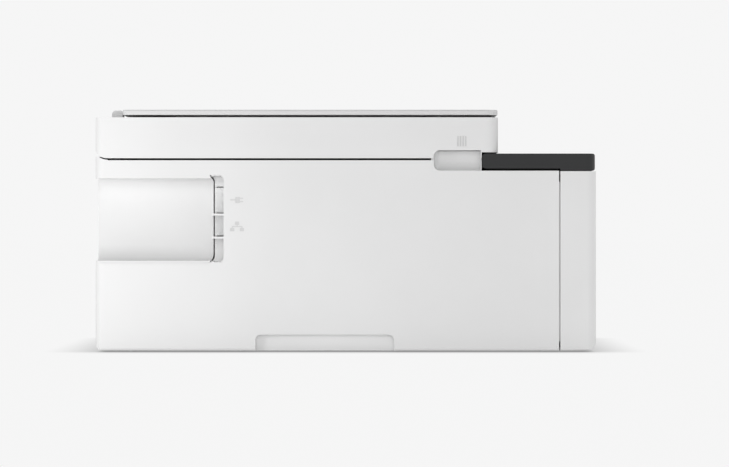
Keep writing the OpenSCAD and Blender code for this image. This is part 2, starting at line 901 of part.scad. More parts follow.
// A belt pulley with flanges, on a shaft of radius "shaft".
module pulley(x, shaft) {
    color(white) difference() {
        union() {
            rod_z(belt_z - 0.6, belt_z + 6.6, [x, belt_y], pulley_radius);
            for (z = [belt_z - 2, belt_z + 6.6]) {
                rod_z(z, z + 1.4, [x, belt_y], pulley_radius + 2);
            }
        }
        rod_z(belt_z - 3, belt_z + 9, [x, belt_y], shaft);
        // A key slot shows how far the pulley has turned
        box([x + 2.6, belt_y - 0.5, belt_z + 7], [x + 6, belt_y + 0.5, belt_z + 9]);
    }
}

module drive_pulley() {
    pulley(-pulley_x, 1.05);
}

module idler_pulley() {
    pulley(pulley_x, 1.55);
}

module carriage() {
    x0 = carriage_x - carriage_half;
    x1 = carriage_x + carriage_half;
    color(dark_grey) difference() {
        union() {
            difference() {
                box([x0, carriage_y0, carriage_z0], [x1, rail_y - 8, carriage_z1]);
                box([x0 + 2, carriage_y0 + 2, carriage_z0 + 2], [x1 - 2, rail_y - 10, carriage_z1 + 1]);
            }
            // Bearing on the guide shaft
            box([x0, rail_y - 8.5, rail_z - 8], [x1, carriage_y1, rail_z + 8]);
            // Clip that grips the belt
            box([carriage_x - 10, carriage_y1 - 1, belt_z - 3], [carriage_x + 10, belt_y - 2, belt_z + 9]);
            // Walls between the cartridges
            for (i = [1:3]) {
                box(
                    [x0 + 21 * i - 0.5, carriage_y0 + 1, carriage_z0 + 1],
                    [x0 + 21 * i + 0.5, rail_y - 9, carriage_z1 - 12]
                );
            }
            // Print head
            box([x0 + 12, carriage_y0 + 16, platen_z + 2], [x1 - 12, carriage_y0 + 52, carriage_z0 + 1]);
        }
        rod_x(x0 - 1, x1 + 1, [rail_y, rail_z], rail_radius + 0.06);
        box(
            [carriage_x - 11, belt_y - pulley_radius - 1.9, belt_z - 0.5],
            [carriage_x + 11, belt_y - pulley_radius, belt_z + 10]
        );
    }
}

module ink_cartridges() {
    x0 = carriage_x - carriage_half;
    for (i = [0:3]) {
        low = x0 + 21 * i + (i == 0 ? 2.4 : 0.9);
        high = x0 + 21 * (i + 1) - (i == 3 ? 2.4 : 0.9);
        color(black) difference() {
            along_x(low, high) rounded(
                [carriage_y0 + 2.6, carriage_z0 + 2], [rail_y - 10.6, carriage_z1 + 3], [1, 1, 3, 6]
            );
            box(
                [low - 1, carriage_y0 + 8, carriage_z1 + 1.4], [high + 1, carriage_y0 + 16, carriage_z1 + 4]
            );
        }
    }
}

module maintenance_station() {
    x1 = carriage_x + carriage_half;
    color(mid_grey) difference() {
        union() {
            box([plate_x1 + 3.6, carriage_y0, 58], [x1, feed_y + 20, platen_z - 1]);
            box([plate_x1 + 6, carriage_y0 + 14, platen_z - 2], [x1 - 6, carriage_y0 + 54, platen_z + 1.4]);
        }
        box([plate_x1 + 9, carriage_y0 + 17, platen_z - 4], [x1 - 26, carriage_y0 + 51, platen_z + 3]);
        box([x1 - 23, carriage_y0 + 17, platen_z - 4], [x1 - 9, carriage_y0 + 51, platen_z + 3]);
    }
    // Legs
    color(mid_grey) for (y = [carriage_y0 + 4, feed_y + 8]) {
        box([plate_x1 + 6, y, 56], [x1, y + 4, 58.5]);
        box([x1 - 4, y, floor_z + 1.5], [x1, y + 4, 58]);
    }
}

module spur_gear(centre, teeth, phase, bore) {
    color(white) translate([gear_x0, centre[0], centre[1]]) rotate([90, 0, 90]) difference() {
        linear_extrude(gear_width) polygon(gear_outline(teeth, phase));
        translate([0, 0, -1]) cylinder(h = gear_width + 2, r = bore);
        if (teeth > 20) {
            for (a = [0:60:300]) {
                rotate(a) translate([teeth * 0.29, 0, -1]) cylinder(h = gear_width + 2, r = teeth * 0.08);
            }
        }
    }
}

module feed_roller() {
    color(steel) rod_x(gear_x0, plate_x1 + 3, [feed_y, feed_z], 4);
    color(rubber_black) for (i = [-2:2]) {
        difference() {
            rod_x(44 * i - 15, 44 * i + 15, [feed_y, feed_z], 6.3);
            rod_x(44 * i - 16, 44 * i + 16, [feed_y, feed_z], 4);
        }
    }
    spur_gear([feed_y, feed_z], feed_teeth, 0, 4);
    transfer_pulley(feed_y);
}

// A pulley of the transfer belt.
module transfer_pulley(y) {
    color(white) difference() {
        union() {
            rod_x(transfer_x0 + 0.3, transfer_x0 + 4.7, [y, feed_z], transfer_radius);
            rod_x(transfer_x0 - 0.5, transfer_x0 + 0.3, [y, feed_z], transfer_radius + 1.8);
            rod_x(transfer_x0 + 4.7, transfer_x0 + 5.5, [y, feed_z], transfer_radius + 1.8);
        }
        rod_x(transfer_x0 - 1, transfer_x0 + 6, [y, feed_z], 2.5);
    }
}

module eject_roller() {
    color(steel) rod_x(transfer_x0 - 1.5, plate_x1 + 3, [eject_y, feed_z], 3);
    color(rubber_black) for (i = [-4:4]) {
        difference() {
            rod_x(24 * i - 5, 24 * i + 5, [eject_y, feed_z], 6.3);
            rod_x(24 * i - 6, 24 * i + 6, [eject_y, feed_z], 3);
        }
    }
    transfer_pulley(eject_y);
}

module motor_pinion() {
    spur_gear([feed_y, motor_z], motor_teeth, 180 / motor_teeth, 1.05);
}

module star_wheels() {
    color(steel) rod_x(-plate_x1 - 1.5, plate_x1 + 1.5, [eject_y, star_z], 1);
    color(black) for (i = [-4:4]) {
        translate([24 * i - 0.6, eject_y, star_z]) rotate([90, 0, 90]) difference() {
            linear_extrude(1.2) polygon([for (k = [0:23]) polar(k % 2 == 0 ? 4.9 : 4.1, 15 * k)]);
            translate([0, 0, -1]) cylinder(h = 4, r = 1);
        }
    }
}

// ---------- Electrics ----------

module main_board() {
    x = -half_width + 24;
    z0 = 25;
    color(circuit_green) along_x(x, x + 1.6) union() {
        translate([frame_y1 + 2, z0]) square([cell_y0 - 2.5 - frame_y1 - 2, 101]);
        translate([feed_y - 40, z0]) square([frame_y1 + 3 - feed_y + 40, 45]);
    }
    color(black) {
        box([x - 3, feed_y - 20, 34], [x, feed_y + 8, 60]);
        box([x - 2.4, feed_y + 34, 30], [x, feed_y + 50, 46]);
    }
    // Feet in the base
    color(circuit_green) for (y = [feed_y - 30, cell_y0 - 12]) {
        box([x, y, floor_z + 1.5], [x + 1.6, y + 8, z0 + 1]);
    }
}

module port_sockets() {
    x = -half_width + 24;
    y0 = frame_y1 + 0.8;
    y1 = cell_y0 - 0.2;
    // Upper socket: an almost square mouth with two cut corners, round a tongue
    color(steel) difference() {
        along_y(y0, y1) rounded([x - 14.5, 104], [x - 2.5, 115], [0.5, 0.5, 3, 3]);
        along_y(y0 + 2, y1 + 1) rounded([x - 13.5, 105], [x - 3.5, 114], [0.4, 0.4, 2.5, 2.5]);
    }
    color(white) box([x - 11.5, y0 + 1, 108], [x - 5.5, y1 - 2, 111]);
    // Lower socket: a network jack with a latch notch
    color(steel) difference() {
        box([x - 17.5, y0, 85], [x - 1.5, y1, 98.5]);
        box([x - 15.5, y0 + 2, 87], [x - 3.5, y1 + 1, 94]);
        box([x - 12.5, y0 + 2, 93], [x - 6.5, y1 + 1, 96.5]);
    }
    // Pins to the board
    color(steel) {
        box([x - 3, y0 + 2, 108], [x, y1 - 4, 110]);
        box([x - 2, y0 + 2, 90], [x, y1 - 4, 94]);
    }
}

module power_supply() {
    color(mid_grey) box([channel_half + 7, frame_y1 + 4, floor_z + 1.5], [178, rear_y - 19, 52]);
}

module power_inlet() {
    color(black) difference() {
        union() {
            along_y(rear_y - 19, rear_y - 0.4) rounded([148, 24], [168, 34], 4.8);
            along_y(rear_y - 7, rear_y - wall - 0.1) rounded([145, 21], [171, 37], 2);
        }
        along_y(rear_y - 14, rear_y + 1) rounded([150, 25.6], [166, 32.4], 3.3);
    }
    color(steel) for (x = [154, 162]) {
        translate([x, rear_y - 3, 29]) rotate([90, 0, 0]) cylinder(h = 11.5, r = 1.2);
    }
}

module rubber_feet() {
    color(rubber_black) both_sides() for (y = [front_y + 42, rear_y - 44]) {
        rod_z(0, ground_gap, [150, y], 9);
    }
}

module case_screws() {
    color(steel) both_sides() for (y = screw_y) {
        difference() {
            union() {
                rod_z(ground_gap - 0.6, ground_gap, [half_width - 12, y], 3);
                rod_z(ground_gap - 0.1, floor_z + 5, [half_width - 12, y], 1.8);
            }
            for (a = [0, 90]) {
                translate([half_width - 12, y, ground_gap - 0.6]) rotate(a)
                    cube([3.6, 0.8, 0.7], center = true);
            }
        }
    }
}

// ---------- Scanner unit ----------

// The scanner unit as one block, drawn in from its outer faces by "inset" and left open below.
module scanner_block(inset) {
    front = front_corner + 1 - inset;
    rear = rear_corner - inset / 2;
    z0 = inset > 0 ? scanner_z0 - 1 : scanner_z0;
    lower = inset > 0 ? 0 : 3;
    intersection() {
        along_z(scanner_z0 - 1, scanner_z1) rounded(
            [-half_width + inset, scanner_front_y + inset], [half_width - inset, scanner_rear_y - inset],
            [front, front, rear, rear]
        );
        along_x(-half_width, half_width) intersection() {
            rounded(
                [scanner_front_y + inset, z0], [scanner_rear_y - inset, scanner_z1 - inset],
                [lower, 0, 0.8, 0.8]
            );
            // The lower rear corner is round about the hinge
            union() {
                translate([scanner_front_y, z0])
                    square([scanner_pivot[0] - scanner_front_y, scanner_height + 1]);
                translate(scanner_pivot) square(scanner_height);
                translate(scanner_pivot) circle(scanner_swing - inset);
            }
        }
    }
}

// Room for the hinge posts that rise out of the body.
module hinge_notch() {
    both_sides() box(
        [142, scanner_pivot[0] - 8, scanner_z0 - 2], [158, rear_y + 5, scanner_pivot[1] + 7.1]
    );
}

module scanner_cover() {
    color(shell_grey) difference() {
        scanner_block(0);
        difference() {
            scanner_block(wall);
            // Ledges over the finger recesses
            both_sides() box(
                [-half_width, grip_y0 - 2, grip_z1], [-half_width + grip_depth + 2, grip_y1 + 2, grip_z1 + 2]
            );
        }
        // The front edge is raised over the back of the control panel
        box(
            [-half_width - 1, scanner_front_y - 1, 100],
            [half_width + 1, panel_back_y + 0.5, panel_z1 + 0.9]
        );
        both_sides() grip_space();
        sunk_sign(scan_sign_spot) scan_sign();
        hinge_notch();
        // Glass window
        along_z(glass_z1 - 1, scanner_z1 + 1)
            rounded([-window_length / 2, window_y0], [window_length / 2, window_y1], 2);
        // Sockets of the lid hinges
        both_sides() box(
            [lid_hinge_x - 9.5, lid_pivot[0] - 3.2, glass_z1 + 0.8],
            [lid_hinge_x + 9.5, lid_pivot[0] + 3.2, scanner_z1 + 1]
        );
    }
}

module scanner_base() {
    inner = half_width - wall - 0.3;
    color(dark_grey) difference() {
        intersection() {
            union() {
                box(
                    [-inner, panel_back_y + 0.8, scanner_z0],
                    [inner, scanner_pivot[0] - 9, scanner_z0 + 2.5]
                );
                box([-inner, scanner_front_y, panel_z1 + 0.9], [inner, panel_back_y + 3.3, panel_z1 + 2.9]);
                box([-inner, panel_back_y + 0.8, scanner_z0], [inner, panel_back_y + 2.8, panel_z1 + 2.9]);
                both_sides() {
                    scanner_ears();
                    rod_x(140, 160, scanner_pivot, 2.5);
                    // Posts that carry the scan rail
                    box(
                        [half_width - 20, rail_scan_y - 6, scanner_z0],
                        [half_width - 16, rail_scan_y + 6, rail_scan_z + 5]
                    );
                }
                // Toothed rack of the scan drive
                translate([0, scan_rack_y, scanner_z0 + 2]) linear_extrude(5) polygon(rack_outline(104, 4));
            }
            scanner_block(wall + 0.3);
        }
        both_sides() {
            box(
                [-half_width, grip_y0 - 2.3, scanner_z0 - 1],
                [-half_width + grip_depth + 3, grip_y1 + 3, grip_z1 + 2.3]
            );
            rod_x(half_width - 21, half_width - 15, [rail_scan_y, rail_scan_z], 3);
        }
        // Shallow stiffening channels over the carriage bay
        for (i = [-3:3]) {
            box([50 * i - 14, panel_back_y + 12, scanner_z0 + 1.3], [50 * i + 14, 0, scanner_z0 + 3]);
        }
    }
}

// Ears that hold the pin of the lower hinge.
module scanner_ears() {
    for (x = [139.5, 158.3]) {
        along_x(x, x + 2.2) union() {
            translate(scanner_pivot) circle(6);
            translate([scanner_pivot[0] - 12, scanner_z0]) square([12, scanner_pivot[1] - scanner_z0]);
            translate([scanner_pivot[0] - 12, scanner_z0]) square([6, 19]);
        }
    }
}

module platen_glass() {
    color(glass_tint) box(
        [-window_length / 2 - 5, window_y0 - 5, glass_z1 - 2.2],
        [window_length / 2 + 5, window_y1 + 5, glass_z1]
    );
}

module scan_rail() {
    color(steel) rod_x(-half_width + 15, half_width - 15, [rail_scan_y, rail_scan_z], 3);
}

module scan_bar() {
    z1 = glass_z1 - 3;
    color(black) difference() {
        box([bar_x - bar_half, window_y0 - 3, z1 - 12], [bar_x + bar_half, window_y1 + 3, z1]);
        box([bar_x - 3, window_y0, z1 - 1.5], [bar_x + 3, window_y1, z1 + 1]);
    }
    color(white) box([bar_x - 2, window_y0 + 0.5, z1 - 1.5], [bar_x + 2, window_y1 - 0.5, z1 - 0.6]);
}

module scan_carrier() {
    top = glass_z1 - 15;
    color(mid_grey) difference() {
        union() {
            box(
                [bar_x - bar_half - 1, window_y0 + 10, top - 2], [bar_x + bar_half + 1, window_y1 - 10, top]
            );
            box(
                [bar_x - bar_half - 1, rail_scan_y - 6, scanner_z0 + 3.6],
                [bar_x + bar_half + 1, rail_scan_y + 6, top]
            );
            rod_z(scanner_z0 + 3.2, top - 1, [bar_x, scan_rack_y + rack_pinion_teeth / 2], 1.5);
        }
        rod_x(bar_x - 20, bar_x + 20, [rail_scan_y, rail_scan_z], 3.06);
    }
}

module scan_pinion() {
    color(white) translate([bar_x, scan_rack_y + rack_pinion_teeth / 2, scanner_z0 + 3.4]) difference() {
        linear_extrude(3) polygon(gear_outline(rack_pinion_teeth, 0));
        translate([0, 0, -1]) cylinder(h = 8, r = 1.55);
    }
}

module scanner_hinges() {
    color(steel) both_sides() difference() {
        along_x(144.2, 155.8) union() {
            translate(scanner_pivot) circle(6);
            translate([scanner_pivot[0] - 5, body_top - wall - 1])
                square([10, scanner_pivot[1] - body_top + wall + 1]);
        }
        rod_x(140, 160, scanner_pivot, 2.56);
    }
    color(steel) both_sides() box(
        [136, scanner_pivot[0] - 14, body_top - wall - 2], [164, scanner_pivot[0] + 6, body_top - wall]
    );
}

// Outline of a lid hinge block above the top of the scanner unit.
module hinge_block_outline() {
    rounded(
        [lid_pivot[0] - 3, scanner_z1 + 0.05], [lid_pivot[0] + 5, lid_pivot[1] + 2.7], [0, 0, 3, 2]
    );
}

// Hinge blocks of the lid, set into the top of the scanner unit.
module lid_hinge_blocks() {
    color(mid_grey) both_sides() {
        for (side = [-1, 1]) {
            along_x(lid_hinge_x + side * 7.7 - 1.7, lid_hinge_x + side * 7.7 + 1.7) union() {
                hinge_block_outline();
                translate([lid_pivot[0] - 3, glass_z1 + 0.8]) square([6, wall]);
            }
        }
        // Cover behind the barrel
        along_x(lid_hinge_x - 9.4, lid_hinge_x + 9.4) intersection() {
            hinge_block_outline();
            translate([lid_pivot[0] + 2.9, scanner_z1]) square(10);
        }
        rod_x(lid_hinge_x - 8, lid_hinge_x + 8, lid_pivot, 1.2);
        box(
            [lid_hinge_x - 9, lid_pivot[0] - 3, glass_z1 + 0.8],
            [lid_hinge_x + 9, lid_pivot[0] + 3, scanner_z1 - 0.6]
        );
    }
}

// ---------- Lid ----------

module lid_shell() {
    x0 = lid_hinge_x;
    color(shell_grey) {
        difference() {
            intersection() {
                along_z(lid_z0, lid_z1) rounded(
                    [-lid_half, lid_front_y], [lid_half, lid_rear_y], [front_corner, front_corner, 3, 3]
                );
                along_x(-lid_half, lid_half)
                    rounded([lid_front_y, lid_z0], [lid_rear_y, lid_z1], [0.6, 0.4, 0.8, 1.2]);
                along_y(lid_front_y, lid_rear_y)
                    rounded([-lid_half, lid_z0], [lid_half, lid_z1], [0.6, 0.6, 1.2, 1.2]);
            }
            along_z(lid_z0 - 1, lid_z1 - 1.9)
                rounded([-lid_half + 3, lid_front_y + 3], [lid_half - 3, lid_rear_y - 5], 4);
        }
        // Hinge knuckles
        both_sides() difference() {
            along_x(x0 - 5.7, x0 + 5.7) union() {
                translate(lid_pivot) circle(2.35);
                translate([lid_rear_y - 1, lid_z0 + 0.3]) square([lid_pivot[0] - lid_rear_y + 1, 1.9]);
            }
            rod_x(x0 - 10, x0 + 10, lid_pivot, 1.26);
        }
    }
}

module lid_pad() {
    color(white) along_z(glass_z1 + 0.5, lid_z1 - 1.9) rounded(
        [-window_length / 2 + 1.2, window_y0 + 1.2], [window_length / 2 - 1.2, window_y1 - 1.2], 1
    );
}

// ---------- Paper cassette ----------

module cassette_tray() {
    y0 = front_y + 12;
    color(mid_grey) difference() {
        union() {
            box([-cassette_half, y0, cassette_z0], [cassette_half, cassette_rear_y, cassette_z0 + 2]);
            both_sides() box(
                [cassette_half - 2.5, y0, cassette_z0], [cassette_half, cassette_rear_y, cassette_top]
            );
            box([-cassette_half, y0, cassette_z0], [cassette_half, y0 + 2.5, cassette_top]);
            box(
                [-cassette_half, cassette_rear_y - 2.5, cassette_z0],
                [cassette_half, cassette_rear_y, cassette_top - 12]
            );
            // Pin of the pinion that links the width guides
            rod_z(cassette_z0 + 1, bed_z - 0.4, [0, guide_pinion_y], 2);
            // Pillars and ledges that carry the bed
            both_sides() {
                for (y = [y0 + 20, -70, 60, cassette_rear_y - 12]) {
                    rod_z(cassette_z0 + 1, bed_z, [60, y], 3);
                }
            }
        }
        // Gap in the rear wall that the pick-up arm and sheets pass through
        along_y(cassette_rear_y - 4, cassette_rear_y + 1)
            rounded([-100, bed_z + 2.2], [100, cassette_top + 5], [3, 3, 0, 0]);
    }
}

module cassette_front() {
    gap = 0.5;
    color(shell_grey) difference() {
        intersection() {
            body_block(0.2, 100);
            box(
                [-channel_half - 1 + gap, front_y, 0],
                [channel_half + 1 - gap, front_y + 12, cassette_slot_z1 - gap]
            );
            box([-300, -300, ground_gap + 3.5], [300, 300, 100]);
        }
        box(
            [-channel_half + 2, front_y + 2.7, ground_gap + 6],
            [channel_half - 2, front_y + 9.5, cassette_slot_z1 - 3]
        );
        // Finger hollow under the top edge
        along_y(front_y - 1, front_y + 9.5) rounded([-32, 35], [32, 47], 5);
    }
    // Back of the finger hollow
    color(shell_grey) difference() {
        along_y(front_y + 2.6, front_y + 9.6) rounded([-34, 33], [34, 49], 6);
        along_y(front_y + 2, front_y + 8) rounded([-32, 35], [32, 47], 5);
    }
}

// The plate the sheets lie on, slotted for the feet of the guides.
module cassette_bed() {
    color(mid_grey) difference() {
        along_z(bed_z, bed_z + 1.6) rounded(
            [-cassette_half + 3, front_y + 15], [cassette_half - 3, cassette_rear_y - 3], 2
        );
        both_sides() box(
            [paper_width / 2 - guide_travel - 2.6, guide_pinion_y - 5, bed_z - 1],
            [paper_width / 2 + 2.6, guide_pinion_y + 5, bed_z + 2]
        );
        box([-6.4, front_y + 20, bed_z - 1], [6.4, front_y + 34 + length_guide_travel, bed_z + 2]);
        // Friction pad seat at the feed end
        box([-14, cassette_rear_y - 30, bed_z + 1], [14, cassette_rear_y - 8, bed_z + 2]);
    }
}

// A width guide left of the sheets: side plate, ledge under them, and foot through the bed.
module guide_plate() {
    x = -paper_width / 2;
    color(dark_grey) {
        box([x - 1.8, guide_y0, bed_z + 2], [x - 0.3, guide_y1, bed_z + 24]);
        box([x - 1.8, guide_y0, bed_z + 2], [x + 7, guide_y1, bed_z + 2.8]);
        box([x - 1.8, guide_pinion_y - 4.6, guide_rack_z], [x + 1.8, guide_pinion_y + 4.6, bed_z + 2.4]);
    }
}

// The rack of a width guide, in front of the pinion, with the strap that joins it to the foot.
module guide_rack() {
    x = -paper_width / 2;
    rack_x = -11 * PI;
    color(dark_grey) translate([0, guide_pinion_y, guide_rack_z]) {
        box([x - 1.8, -12, 0], [x + 1.8, 0, 2.4]);
        box([x - 1.8, -12, 0], [rack_x - 49, -9.1, 2.4]);
        translate([rack_x, -rack_pinion_teeth / 2, 0]) linear_extrude(2.4) polygon(rack_outline(32, 4));
    }
}

module left_paper_guide() {
    guide_plate();
    guide_rack();
}

// The right guide's rack is behind the pinion, so that the two guides move apart together.
module right_paper_guide() {
    mirror([1, 0, 0]) {
        guide_plate();
        translate([0, 2 * guide_pinion_y, 0]) mirror([0, 1, 0]) guide_rack();
    }
}

module guide_pinion() {
    color(white) translate([0, guide_pinion_y, guide_rack_z]) difference() {
        linear_extrude(2.4) polygon(gear_outline(rack_pinion_teeth, 0));
        translate([0, 0, -1]) cylinder(h = 8, r = 2.05);
    }
}

module length_guide() {
    y = front_y + 22;
    color(dark_grey) {
        box([-22, y, bed_z + 2], [22, y + 1.8, bed_z + 24]);
        box([-22, y, bed_z + 2], [22, y + 12, bed_z + 2.8]);
        box([-6, y + 1, bed_z - 1], [6, y + 10, bed_z + 2.4]);
        box([-9, y + 1, bed_z - 2.2], [9, y + 10, bed_z - 0.4]);
    }
}

// ---------- Output tray ----------

module output_tray() {
    y0 = front_y + 10.2;
    y1 = eject_y - 18;
    color(dark_grey) difference() {
        union() {
            box([-124, y0, tray_z1 - 1.8], [124, y1, tray_z1]);
            both_sides() {
                box([121.5, y0, cavity_z0 + 0.4], [124, y1, tray_z1]);
                // Runners that hold the extension up
                box([105.4, y0, cavity_z0 + 0.4], [107.4, y1, tray_z1 - 1]);
                box([98, y0, cavity_z0 + 0.4], [107.4, y1, cavity_z0 + 0.9]);
            }
        }
        // Notch that frees the stop of the extension
        box([-26, y0 - 1, cavity_z0], [26, stop_axis[0] + stop_length + 5, tray_z1 + 1]);
        // Grip grooves
        both_sides() for (i = [0:5]) {
            box([55, y0 + 12 + 12 * i, tray_z1 - 0.6], [95, y0 + 16 + 12 * i, tray_z1 + 1]);
        }
    }
}

module tray_extension() {
    y0 = front_y + 1.2;
    z0 = cavity_z0 + 1.2;
    color(dark_grey) {
        difference() {
            union() {
                box([-105, y0, z0], [105, eject_y - 22, z0 + 1.6]);
                box([-105, y0, cavity_z0 + 0.4], [105, y0 + 8.6, tray_z1]);
            }
            box([-24.2, y0 - 1, cavity_z0], [24.2, stop_axis[0] + stop_length + 4, tray_z1 + 1]);
        }
        both_sides() rod_x(22, 24.6, stop_axis, 1.2);
    }
}

module tray_stop() {
    y = stop_axis[0];
    z = stop_axis[1];
    color(dark_grey) difference() {
        union() {
            rod_x(-23.8, 23.8, stop_axis, 2.2);
            box([-23.8, y, z - 1], [23.8, y + stop_length, z + 1.2]);
        }
        both_sides() rod_x(21.6, 24, stop_axis, 1.25);
        along_z(z - 3, z + 3) rounded([-8, y + stop_length - 9], [8, y + stop_length + 5], 3);
    }
}

// ---------- Rear door, pick-up arm ----------

module rear_door() {
    color(shell_grey) difference() {
        union() {
            intersection() {
                along_x(-door_half, door_half) union() {
                    translate(door_pivot) circle(3.5);
                    rounded([rear_y - 2.7, door_pivot[1]], [rear_y, door_z1], [0, 0, 0.6, 0.6]);
                }
                along_y(0, rear_y + 1) rounded([-door_half, 0], [door_half, door_z1], [0, 0, 2, 2]);
            }
            // Ribs that stiffen the door round the turn
            for (i = [-4:4]) {
                along_x(24 * i - 0.8, 24 * i + 0.8) difference() {
                    translate([rear_y - 8, door_pivot[1] + 1]) square([6, 22]);
                    translate(turn_centre) circle(34);
                }
            }
            rod_x(-door_half - 3.8, door_half + 3.8, door_pivot, 2);
        }
        // Finger hollow
        along_x(-18, 18) translate([rear_y + 2, door_z1 - 8]) circle(4);
    }
}

module pickup_arm() {
    dy = pickup_centre[0] - arm_pivot[0];
    dz = pickup_centre[1] - arm_pivot[1];
    reach = norm([dy, dz]);
    tilt = atan2(dz, dy);
    color(dark_grey) difference() {
        union() {
            both_sides() along_x(17, 21) union() {
                translate(arm_pivot) circle(6);
                translate(pickup_centre) circle(5);
                translate(arm_pivot) rotate(tilt) translate([0, -4.5]) square([reach, 9]);
            }
            along_x(-20, 20) translate(arm_pivot) rotate(tilt) translate([12, -4.5]) square([20, 3]);
            rod_x(-20, 20, arm_pivot, 5);
        }
        rod_x(-30, 30, arm_pivot, 3.06);
        rod_x(-30, 30, pickup_centre, 2.05);
    }
}

module pickup_roller() {
    color(steel) rod_x(-21.5, 21.5, pickup_centre, 2);
    color(rubber_black) difference() {
        rod_x(-16, 16, pickup_centre, pickup_radius);
        for (a = [0:30:330]) {
            translate([0, pickup_centre[0], pickup_centre[1]]) rotate([a, 0, 0])
                box([-17, -0.6, pickup_radius - 0.7], [17, 0.6, pickup_radius + 1]);
        }
        rod_x(-17, 17, pickup_centre, 2);
    }
}

base_tray();
left_side_cover();
right_side_cover();
rear_cover();
front_bezel();
top_deck();
output_chute();
control_panel();
panel_window();
display();
engine_frame();
platen();
guide_shaft();
carriage_belt();
drive_motors();
maintenance_station();
main_board();
port_sockets();
power_supply();
power_inlet();
rubber_feet();
case_screws();
rear_paper_guide();
scanner_hinges();
scanner_cover();
lid_hinge_blocks();
scanner_base();
platen_glass();
scan_rail();
scan_bar();
scan_carrier();
scan_pinion();
lid_shell();
lid_pad();
carriage();
ink_cartridges();
drive_pulley();
idler_pulley();
feed_roller();
eject_roller();
transfer_belt();
motor_pinion();
star_wheels();
cassette_tray();
cassette_front();
cassette_bed();
left_paper_guide();
right_paper_guide();
guide_pinion();
length_guide();
output_tray();
tray_extension();
tray_stop();
rear_door();
pickup_arm();
pickup_roller();
power_button();
back_button();
stop_button();
start_button();
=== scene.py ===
import json
import math
import bpy
import bmesh
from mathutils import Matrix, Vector


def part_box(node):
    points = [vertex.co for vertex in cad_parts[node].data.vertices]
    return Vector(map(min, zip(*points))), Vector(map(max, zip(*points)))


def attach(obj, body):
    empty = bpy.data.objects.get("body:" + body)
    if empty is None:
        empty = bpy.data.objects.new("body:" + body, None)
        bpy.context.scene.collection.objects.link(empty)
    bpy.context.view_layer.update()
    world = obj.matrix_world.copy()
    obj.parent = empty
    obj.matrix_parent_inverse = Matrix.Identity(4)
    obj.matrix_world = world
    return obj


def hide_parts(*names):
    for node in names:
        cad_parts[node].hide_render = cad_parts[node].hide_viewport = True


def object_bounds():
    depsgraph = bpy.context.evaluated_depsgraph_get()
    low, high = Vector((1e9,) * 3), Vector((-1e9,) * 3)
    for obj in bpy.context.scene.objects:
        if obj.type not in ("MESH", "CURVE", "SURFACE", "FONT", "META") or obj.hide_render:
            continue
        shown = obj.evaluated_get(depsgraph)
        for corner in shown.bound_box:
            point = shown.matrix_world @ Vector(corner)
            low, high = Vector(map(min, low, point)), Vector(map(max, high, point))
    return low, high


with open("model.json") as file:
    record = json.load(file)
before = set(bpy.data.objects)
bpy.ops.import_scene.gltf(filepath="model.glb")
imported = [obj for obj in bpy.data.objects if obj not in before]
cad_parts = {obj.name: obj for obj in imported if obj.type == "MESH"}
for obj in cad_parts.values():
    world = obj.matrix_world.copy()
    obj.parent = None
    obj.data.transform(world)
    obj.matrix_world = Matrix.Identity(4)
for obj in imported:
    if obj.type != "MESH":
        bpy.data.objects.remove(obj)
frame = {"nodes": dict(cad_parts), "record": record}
cad_low, cad_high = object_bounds()
NODES = frame["nodes"]
RECORD = frame["record"]
MM = 0.001
scene = bpy.context.scene


def new_material(name):
    material = bpy.data.materials.new(name)
    material.use_nodes = True
    tree = material.node_tree
    return material, tree, tree.nodes["Principled BSDF"]


# ---------- Camera, floor and light ----------

SENSOR_WIDTH = 36  # millimetres, like the lens
LENS = 200
VIEW_WIDTH = 0.5294  # metres across the image at the left side of the machine
AIM = Vector((0.0, -0.0135, 0.0862))
FLOOR_HALF = 40.0  # half the side of the floor


def make_camera():
    """A long lens square to the left side."""
    data = bpy.data.cameras.new("camera")
    data.sensor_width = SENSOR_WIDTH
    data.lens = LENS
    data.clip_end = 2 * FLOOR_HALF
    camera = bpy.data.objects.new("camera", data)
    scene.collection.objects.link(camera)
    distance = VIEW_WIDTH * LENS / SENSOR_WIDTH
    camera.location = (cad_low.x - distance, AIM.y, AIM.z)
    camera.rotation_euler = (math.radians(90), 0, math.radians(-90))
    scene.camera = camera


def area_light(name, position, target, size, watts):
    data = bpy.data.lights.new(name, "AREA")
    data.shape = "RECTANGLE"
    data.size = size[0]
    data.size_y = size[1]
    data.energy = watts
    light = bpy.data.objects.new(name, data)
    scene.collection.objects.link(light)
    light.location = position
    light.visible_camera = False
    aim = Vector(target) - Vector(position)
    light.rotation_euler = aim.to_track_quat("-Z", "Y").to_euler()


def make_world(level, left_side):
    """A pale room of the given level, falling by the factor left_side toward the machine's left."""
    world = bpy.data.worlds.new("studio")
    scene.world = world
    world.use_nodes = True
    tree = world.node_tree
    parts = tree.nodes.new("ShaderNodeSeparateXYZ")
    tree.links.new(tree.nodes.new("ShaderNodeTexCoord").outputs["Generated"], parts.inputs["Vector"])
    fade = tree.nodes.new("ShaderNodeMapRange")
    fade.interpolation_type = "SMOOTHSTEP"
    fade.inputs["From Min"].default_value = 0.3
    fade.inputs["From Max"].default_value = -0.3
    fade.inputs["To Min"].default_value = 1.0
    fade.inputs["To Max"].default_value = left_side
    tree.links.new(parts.outputs["X"], fade.inputs["Value"])
    background = tree.nodes["Background"]
    tree.links.new(fade.outputs["Result"], background.inputs["Color"])
    background.inputs["Strength"].default_value = level


